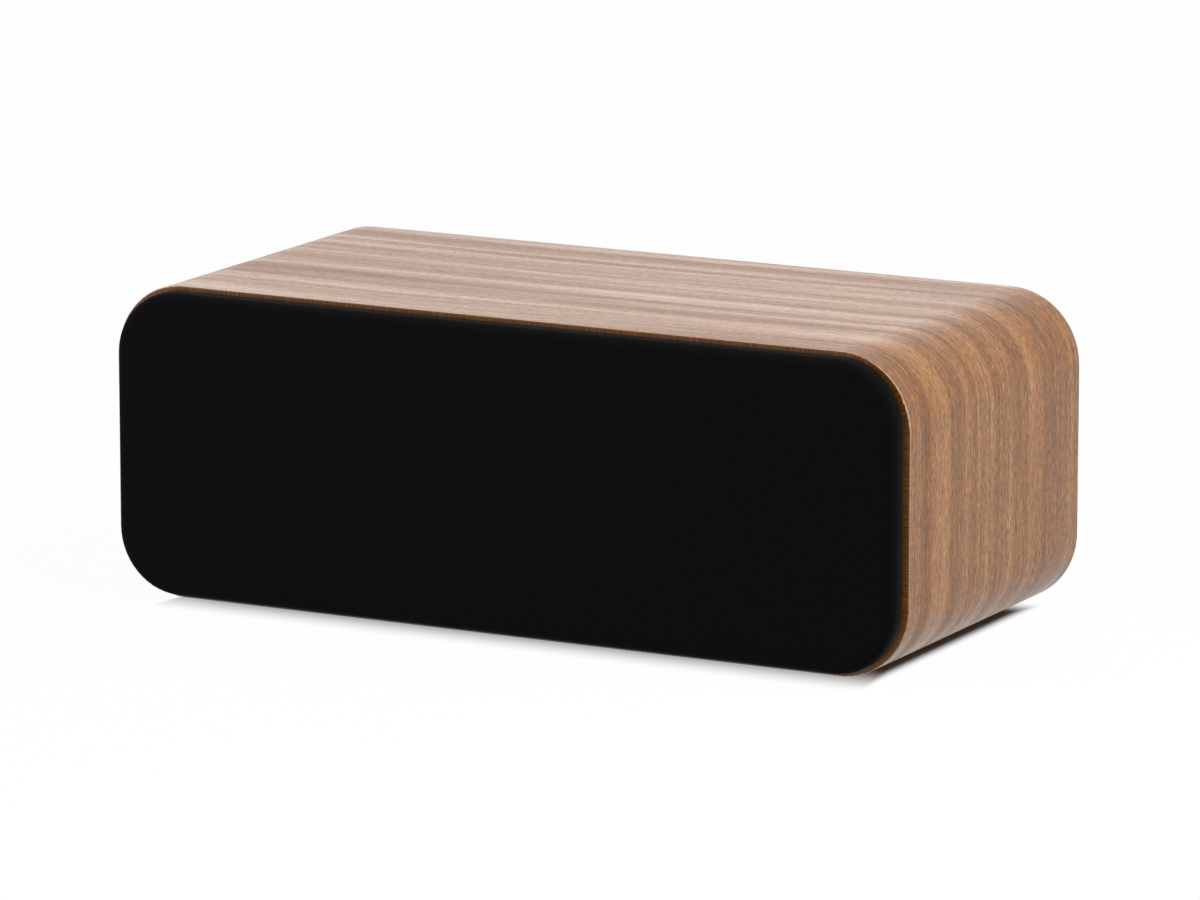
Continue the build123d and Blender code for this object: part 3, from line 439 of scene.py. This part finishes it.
def node_slot(name):
    """The finish of each CAD node, by the longest of these starts that its name has."""
    starts = {
        "cabinet_wrap": "walnut_veneer",
        "front_baffle": "black_board",
        "rear_panel": "black_board",
        "brace": "bare_board",
        "foot": "foot_rubber",
        "port_tube": "moulded_black",
        "grille_cloth": "grille_cloth",
        "grille_frame": "frame_plastic",
        "grille_magnets": "magnet_metal",
        "baffle_magnets": "magnet_metal",
        "woofer_basket": "basket_metal",
        "woofer_surround": "surround_rubber",
        "woofer_cone": "cone_black",
        "woofer_spider": "spider_cloth",
        "woofer_voice_coil": "coil_copper",
        "woofer_top_plate": "motor_steel",
        "woofer_magnet": "ferrite",
        "woofer_yoke": "motor_steel",
        "woofer_trim_ring": "trim_black",
        "woofer_screws": "screw_black",
        "tweeter_faceplate": "trim_black",
        "tweeter_dome": "dome_cloth",
        "tweeter_voice_coil": "coil_copper",
        "tweeter_top_plate": "motor_steel",
        "tweeter_magnet": "ferrite",
        "tweeter_yoke": "motor_steel",
        "tweeter_rear_chamber": "moulded_black",
        "tweeter_screws": "screw_black",
        "terminal_panel": "moulded_black",
        "terminal_screws": "screw_black",
        "terminal_stem": "terminal_gold",
        "terminal_insert": "terminal_gold",
        "terminal_nuts": "motor_steel",
        "terminal_cap_red": "cap_red",
        "terminal_cap_black": "cap_black",
        "crossover_board": "circuit_board",
        "crossover_inductors": "coil_copper",
        "crossover_capacitors": "capacitor_film",
        "crossover_resistors": "resistor_cement",
        "lead": "lead_sheath",
        "wadding": "wadding_white",
    }
    return starts[max((start for start in starts if name.startswith(start)), key=len)]


SHARP_ANGLE = math.radians(28)
for name, node in nodes.items():
    node.data.materials.clear()
    node.data.materials.append(finishes[node_slot(name)])
    node.data.shade_smooth()
    node.data.set_sharp_from_angle(angle=SHARP_ANGLE)


def new_piece(name, points, faces, slot):
    mesh = bpy.data.meshes.new(name)
    mesh.from_pydata([tuple(point) for point in points], [], faces)
    mesh.validate()
    mesh.update()
    mesh.materials.append(finishes[slot])
    mesh.shade_smooth()
    piece = bpy.data.objects.new(name, mesh)
    scene.collection.objects.link(piece)
    return piece


# Grille cloth: drawn tight over the front of the frame and glued round its sides
cloth_low, cloth_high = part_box("grille_cloth")
CLOTH_ROUND = 0.0045
CLOTH_CORNER = 0.033
CLOTH_THICK = 0.0007
CLOTH_BEND_STEPS = 10
CLOTH_FRONT_INSETS = (0.007, 0.012, 0.02, 0.03, 0.045, 0.06)
CLOTH_LAST_HALF = 0.002
CLOTH_LEAST_CORNER = 0.0015


def outline(half_width, half_height, radius, steps=14):
    """Points round an upright rounded rectangle."""
    points = []
    for quarter, (sx, sz) in enumerate(((1, 1), (-1, 1), (-1, -1), (1, -1))):
        for step in range(steps + 1):
            angle = math.pi / 2 * (quarter + step / steps)
            points.append((
                sx * (half_width - radius) + radius * math.cos(angle),
                sz * (half_height - radius) + radius * math.sin(angle),
            ))
    return points


def make_grille_cloth():
    half_width = (cloth_high.x - cloth_low.x) / 2
    half_height = (cloth_high.z - cloth_low.z) / 2
    profile = [(0.0, cloth_high.y), (0.0, (cloth_high.y + cloth_low.y) / 2)]
    for step in range(CLOTH_BEND_STEPS + 1):
        angle = math.pi / 2 * step / CLOTH_BEND_STEPS
        profile.append((
            CLOTH_ROUND * (1 - math.cos(angle)),
            cloth_low.y + CLOTH_ROUND * (1 - math.sin(angle)),
        ))
    for inset in CLOTH_FRONT_INSETS + (half_height - CLOTH_LAST_HALF,):
        profile.append((inset, cloth_low.y))
    points, faces = [], []
    for inset, y in profile:
        radius = max(CLOTH_CORNER - inset, CLOTH_LEAST_CORNER)
        for px, pz in outline(half_width - inset, half_height - inset, radius):
            points.append((px, y, AXIS_Z + pz))
    count = len(points) // len(profile)
    for row in range(len(profile) - 1):
        for column in range(count):
            following = (column + 1) % count
            a, b = row * count + column, row * count + following
            faces.append((a, b, b + count, a + count))
    faces.append(tuple(range((len(profile) - 1) * count, len(profile) * count)))
    cloth = new_piece("grille_cloth_knit", points, faces, "grille_cloth")
    solid = cloth.modifiers.new("thickness", "SOLIDIFY")
    solid.thickness = CLOTH_THICK
    solid.offset = -1
    return cloth


grille_cloth_knit = make_grille_cloth()
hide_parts("grille_cloth")
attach(grille_cloth_knit, "grille")


# Wadding: a loose pad of fibre, lumpy and soft at its edges
WADDING_STEPS = 22
WADDING_EDGE_CROWD = 1.15
WADDING_SQUARENESS = 7
WADDING_FILL = 0.95
WADDING_INSET = 0.0024
LUMP_SCALE = 45
LUMP_HEIGHT = 0.0022


def make_wadding():
    low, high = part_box("wadding")
    middle, half = (low + high) / 2, (high - low) / 2
    steps = WADDING_STEPS
    points, faces, index = [], [], {}

    def point_at(i, j, k):
        key = (i, j, k)
        if key not in index:
            unit = Vector((i, j, k)) / steps * 2 - Vector((1, 1, 1))
            ball = Vector(math.copysign(abs(axis) ** WADDING_EDGE_CROWD, axis) for axis in unit)
            roundness = sum(abs(axis) ** WADDING_SQUARENESS for axis in ball) ** (1 / WADDING_SQUARENESS)
            ball = ball / max(roundness, 1e-6) * WADDING_FILL
            place = Vector(ball[axis] * half[axis] for axis in range(3))
            lump = noise.fractal(place * LUMP_SCALE, 0.6, 2.0, 3) * LUMP_HEIGHT
            place -= ball.normalized() * (WADDING_INSET + lump)
            index[key] = len(points)
            points.append(middle + place)
        return index[key]

    for axis in range(3):
        for end in (0, steps):
            for u in range(steps):
                for v in range(steps):
                    square = []
                    for du, dv in ((0, 0), (1, 0), (1, 1), (0, 1)):
                        key = [0, 0, 0]
                        key[axis] = end
                        key[(axis + 1) % 3] = u + du
                        key[(axis + 2) % 3] = v + dv
                        square.append(point_at(*key))
                    faces.append(tuple(square if end else reversed(square)))
    return new_piece("wadding_pad", points, faces, "wadding_white")


wadding_pad = make_wadding()
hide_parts("wadding")
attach(wadding_pad, "cabinet")


# Woofer surrounds and spiders: turned sections between the cabinet and the cone
SURROUND_LIP = 0.0008
SURROUND_GLUE = 0.0034
ROLL_STEPS = 22
ROLL_INSIDE_STEPS = 18
SPIDER_THICK = 0.0006
SPIDER_WAVES = 5
SPIDER_WAVE_STEPS = 12
SPIDER_INNER = 0.013
SPIDER_WAVE_START = 0.015
SPIDER_WAVE_END = 0.0285


def turned(name, section, centre, slot, segments=120):
    """A piece with a closed section of (radius, y) points, turned about a driver's axis."""
    points, faces = [], []
    count = len(section)
    for step in range(segments):
        angle = 2 * math.pi * step / segments
        across, up = math.cos(angle), math.sin(angle)
        points += [(centre.x + radius * across, y, centre.z + radius * up) for radius, y in section]
        after = (step + 1) % segments
        for index in range(count):
            following = (index + 1) % count
            faces.append((
                step * count + index, after * count + index,
                after * count + following, step * count + following,
            ))
    return new_piece(name, points, faces, slot)


def bend_with_cone(piece):
    """Bakes the piece's placement into its points.
    """
    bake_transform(piece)


def arc(centre, radius, first, last, steps):
    """Points of a section on an arc, by angles from straight out; a quarter turn on is the front."""
    return [
        (centre[0] + radius * math.cos(angle), centre[1] - radius * math.sin(angle))
        for angle in (first + (last - first) * step / steps for step in range(steps + 1))
    ]


def make_surround(side):
    low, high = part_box(f"woofer_surround_{side}")
    cone_low, cone_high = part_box(f"woofer_cone_{side}")
    centre = (low + high) / 2
    back = high.y
    front = back - SURROUND_LIP
    lip_radius = (high.x - low.x) / 2
    cone_radius = (cone_high.x - cone_low.x) / 2
    roll_radius = back - low.y
    roll_inside = roll_radius - SURROUND_LIP
    roll = (cone_radius + roll_inside, back)
    lift = math.asin(SURROUND_LIP / roll_radius)
    edge = SURROUND_LIP / 2
    glued = cone_radius - SURROUND_GLUE
    section = [(lip_radius, back), (lip_radius, front + edge), (lip_radius - edge, front)]
    section += arc(roll, roll_radius, lift, math.pi - lift, ROLL_STEPS)
    section += [(glued + edge, front), (glued, front + edge), (glued, back)]
    section += arc(roll, roll_inside, math.pi, 0, ROLL_INSIDE_STEPS)
    piece = turned(f"woofer_surround_roll_{side}", section, centre, "surround_rubber")
    bend_with_cone(piece)
    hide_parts(f"woofer_surround_{side}")


def make_spider(side):
    low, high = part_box(f"woofer_spider_{side}")
    centre = (low + high) / 2
    outer = (high.x - low.x) / 2
    middle = centre.y
    height = (high.y - low.y - SPIDER_THICK) / 2
    steps = SPIDER_WAVE_STEPS * SPIDER_WAVES
    sheet = [(SPIDER_INNER, middle)]
    for step in range(steps + 1):
        turn = 2 * math.pi * SPIDER_WAVES * step / steps
        reach = SPIDER_WAVE_START + (SPIDER_WAVE_END - SPIDER_WAVE_START) * step / steps
        sheet.append((reach, middle - height * math.sin(turn)))
    sheet.append((outer, middle))
    section = [(radius, y - SPIDER_THICK / 2) for radius, y in reversed(sheet)]
    section += [(radius, y + SPIDER_THICK / 2) for radius, y in sheet]
    piece = turned(f"woofer_spider_waves_{side}", section, centre, "spider_cloth")
    bend_with_cone(piece)
    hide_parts(f"woofer_spider_{side}")


for woofer_side in ("left", "right"):
    make_surround(woofer_side)
    make_spider(woofer_side)


# Screws that show: sockets in the tweeter's countersunk heads, crosses in the terminal panel's pan heads
SCREW_HEAD = 0.0033
SCREW_SHANK = 0.00175
SCREW_LENGTH = 0.015
SCREW_EDGE = 0.0002
SOCKET_HALF = 0.00125
SOCKET_DEPTH = 0.0013
CROSS_REACH = 0.0018
CROSS_HALF = 0.00042
CROSS_DEPTH = 0.0012
RECESS_TAPER = 0.9
PAN_HEIGHT = 0.002
PAN_ROUND_STEPS = 6


def socket_reach(angle):
    """How far a hexagonal socket reaches from its centre, at an angle round it."""
    sixth = math.pi / 3
    return SOCKET_HALF / math.cos(angle % sixth - sixth / 2)


def cross_reach(angle):
    """How far a cross recess reaches from its centre, at an angle round it."""
    quarter = math.pi / 2
    off = abs((angle + quarter / 2) % quarter - quarter / 2)
    return min(CROSS_REACH, CROSS_HALF / max(math.sin(off), 1e-6))


def make_screws(name, places, outward, profile, recess, depth, segments=72):
    """Screws of one kind in one piece, placed by the middles of their heads' tops.

    The profile runs from the head's top to the tip, as (radius, rise) points. The top's rise is 0, and
    what lies behind it is below 0, whichever way along Y the head looks.
    """
    points, faces = [], []
    rings = len(profile) + 2
    for place in places:
        base = len(points)
        for step in range(segments):
            angle = 2 * math.pi * step / segments
            reach = recess(angle)
            loop = [(reach * RECESS_TAPER, -depth), (reach, profile[0][1])] + profile
            across, up = math.cos(angle), math.sin(angle)
            for radius, rise in loop:
                points.append((
                    place[0] + radius * across, place[1] + outward * rise, place[2] + radius * up,
                ))
            after = (step + 1) % segments
            for ring in range(rings - 1):
                square = [base + step * rings + ring, base + step * rings + ring + 1,
                          base + after * rings + ring + 1, base + after * rings + ring]
                faces.append(square if outward < 0 else square[::-1])
        floor_loop = [base + step * rings for step in range(segments)]
        tip_loop = [base + step * rings + rings - 1 for step in range(segments)]
        faces.append(floor_loop if outward < 0 else floor_loop[::-1])
        faces.append(tip_loop[::-1] if outward < 0 else tip_loop)
    piece = new_piece(f"{name}_heads", points, faces, "screw_black")
    piece.data.set_sharp_from_angle(angle=SHARP_ANGLE)
    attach(piece, "cabinet")
    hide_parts(name)


def head_places(node, y):
    """The middles of four heads, which touch the corners of their node's box."""
    low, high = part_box(node)
    across = (low.x + SCREW_HEAD, high.x - SCREW_HEAD)
    up = (low.z + SCREW_HEAD, high.z - SCREW_HEAD)
    return [(x, y, z) for x in across for z in up]


countersunk = [
    (SCREW_HEAD - SCREW_EDGE, 0),
    (SCREW_SHANK, SCREW_SHANK - SCREW_HEAD),
    (SCREW_SHANK, SCREW_SHANK - SCREW_LENGTH),
    (SCREW_EDGE, -SCREW_LENGTH),
]
pan_round = PAN_HEIGHT / 2
pan_arc = arc((SCREW_HEAD - pan_round, -pan_round), -pan_round, math.pi / 2, math.pi, PAN_ROUND_STEPS)
pan = pan_arc + [
    (SCREW_HEAD, -PAN_HEIGHT),
    (SCREW_SHANK, -PAN_HEIGHT),
    (SCREW_SHANK, SCREW_SHANK - PAN_HEIGHT - SCREW_LENGTH),
    (SCREW_EDGE, -PAN_HEIGHT - SCREW_LENGTH),
]
tweeter_heads = head_places("tweeter_screws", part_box("tweeter_screws")[0].y)
make_screws("tweeter_screws", tweeter_heads, -1, countersunk, socket_reach, SOCKET_DEPTH)
terminal_heads = head_places("terminal_screws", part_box("terminal_screws")[1].y)
make_screws("terminal_screws", terminal_heads, 1, pan, cross_reach, CROSS_DEPTH)


# Stage: a white floor that keeps the shadow under the cabinet
def seen_ray(tree):
    """1 for rays that show the background itself: the camera's, and those in reflections and glass."""
    path = tree.nodes.new("ShaderNodeLightPath")
    total = path.outputs["Is Camera Ray"]
    for name in ("Is Glossy Ray", "Is Transmission Ray"):
        greater = tree.nodes.new("ShaderNodeMath")
        greater.operation = "MAXIMUM"
        tree.links.new(total, greater.inputs[0])
        tree.links.new(path.outputs[name], greater.inputs[1])
        total = greater.outputs[0]
    return total


SIDE_SHADE = HALF_WIDTH - 0.0305
SIDE_FADE = 0.009
END_SHADE = -cad_low.y - 0.048
END_FADE = 0.052
FLOOR_LIFT = 0.96
FLOOR_TONE = (0.6, 0.6, 0.6, 1)
FLOOR_LIFTED_TONE = (0.05, 0.05, 0.05, 1)


def floor_finish():
    """Matt white that turns bright past the cabinet's edges, so that only the shade under it is left."""
    f = Finish("floor_white", Roughness=1.0, Specular_IOR_Level=0.0)
    x, y, z = f.split(f.place())
    past_side = f.remap(f.math("ABSOLUTE", x), SIDE_SHADE, SIDE_SHADE + SIDE_FADE)
    past_front = f.remap(f.math("MULTIPLY", y, -1.0), END_SHADE, END_SHADE + END_FADE)
    past_back = f.remap(y, cad_high.y - 2 * SIDE_FADE, cad_high.y + SIDE_FADE)
    outside = f.math("MAXIMUM", past_side, f.math("MAXIMUM", past_front, past_back))
    bright = f.math("MULTIPLY", outside, seen_ray(f.tree))
    f.set("Base Color", f.mix(bright, FLOOR_TONE, FLOOR_LIFTED_TONE))
    f.set("Emission Color", (1, 1, 1, 1))
    f.set("Emission Strength", f.math("MULTIPLY", bright, FLOOR_LIFT))
    return f.material


FLOOR_SIZE = 14
FLOOR_DROP = 0.0001
half_floor = FLOOR_SIZE / 2
floor_mesh = bpy.data.meshes.new("floor")
floor_mesh.from_pydata(
    [(-half_floor, -half_floor, 0), (half_floor, -half_floor, 0),
     (half_floor, half_floor, 0), (-half_floor, half_floor, 0)],
    [], [(0, 1, 2, 3)],
)
floor_mesh.materials.append(floor_finish())
floor = bpy.data.objects.new("floor", floor_mesh)
floor.location.z = -FLOOR_DROP
scene.collection.objects.link(floor)

# World: soft even light, and white where it is seen
SOFT_LIGHT = 0.15
WHITE = (1, 1, 1, 1)
world = bpy.data.worlds.new("studio")
scene.world = world
world.use_nodes = True
world_tree = world.node_tree
world_tree.nodes.clear()
world_output = world_tree.nodes.new("ShaderNodeOutputWorld")
soft = world_tree.nodes.new("ShaderNodeBackground")
soft.inputs["Color"].default_value = WHITE
soft.inputs["Strength"].default_value = SOFT_LIGHT
shown = world_tree.nodes.new("ShaderNodeBackground")
shown.inputs["Color"].default_value = WHITE
world_mix = world_tree.nodes.new("ShaderNodeMixShader")
world_tree.links.new(seen_ray(world_tree), world_mix.inputs[0])
world_tree.links.new(soft.outputs[0], world_mix.inputs[1])
world_tree.links.new(shown.outputs[0], world_mix.inputs[2])
world_tree.links.new(world_mix.outputs[0], world_output.inputs["Surface"])


def softbox(name, place, aim, size, watts):
    """A broad lamp turned to its aim, which the camera doesn't see."""
    light = bpy.data.lights.new(name, "AREA")
    light.shape = "RECTANGLE"
    light.size, light.size_y = size
    light.energy = watts
    lamp = bpy.data.objects.new(name, light)
    lamp.location = place
    lamp.rotation_euler = (Vector(aim) - Vector(place)).to_track_quat("-Z", "Y").to_euler()
    lamp.visible_camera = False
    scene.collection.objects.link(lamp)


softbox("overhead", (-1.1, -1.4, 1.6), (0, 0, 0.1), (1.0, 0.9), 2)
softbox("right", (1.5, -0.3, 1.6), (0.1, 0, 0.1), (1.2, 1.0), 34)
softbox("left", (-2.0, -1.2, 0.6), (-0.1, -0.05, 0.08), (0.9, 0.9), 26)
softbox("back", (-1.1, 2.1, 0.75), (0, 0, 0.16), (1.8, 0.8), 3.5)

# Camera, fitted to the photograph's edges
CAMERA_LENS = 232.21
CAMERA_SENSOR = 36
CAMERA_PLACE = (1.7781, -3.3473, 0.8631)
CAMERA_AIM = Vector((0.0014, 0.0038, 0.0797))
camera_data = bpy.data.cameras.new("camera")
camera_data.lens = CAMERA_LENS
camera_data.sensor_width = CAMERA_SENSOR
camera = bpy.data.objects.new("camera", camera_data)
camera.location = CAMERA_PLACE
camera.rotation_euler = (CAMERA_AIM - camera.location).to_track_quat("-Z", "Y").to_euler()
scene.collection.objects.link(camera)
scene.camera = camera
scene.view_settings.view_transform = "Standard"
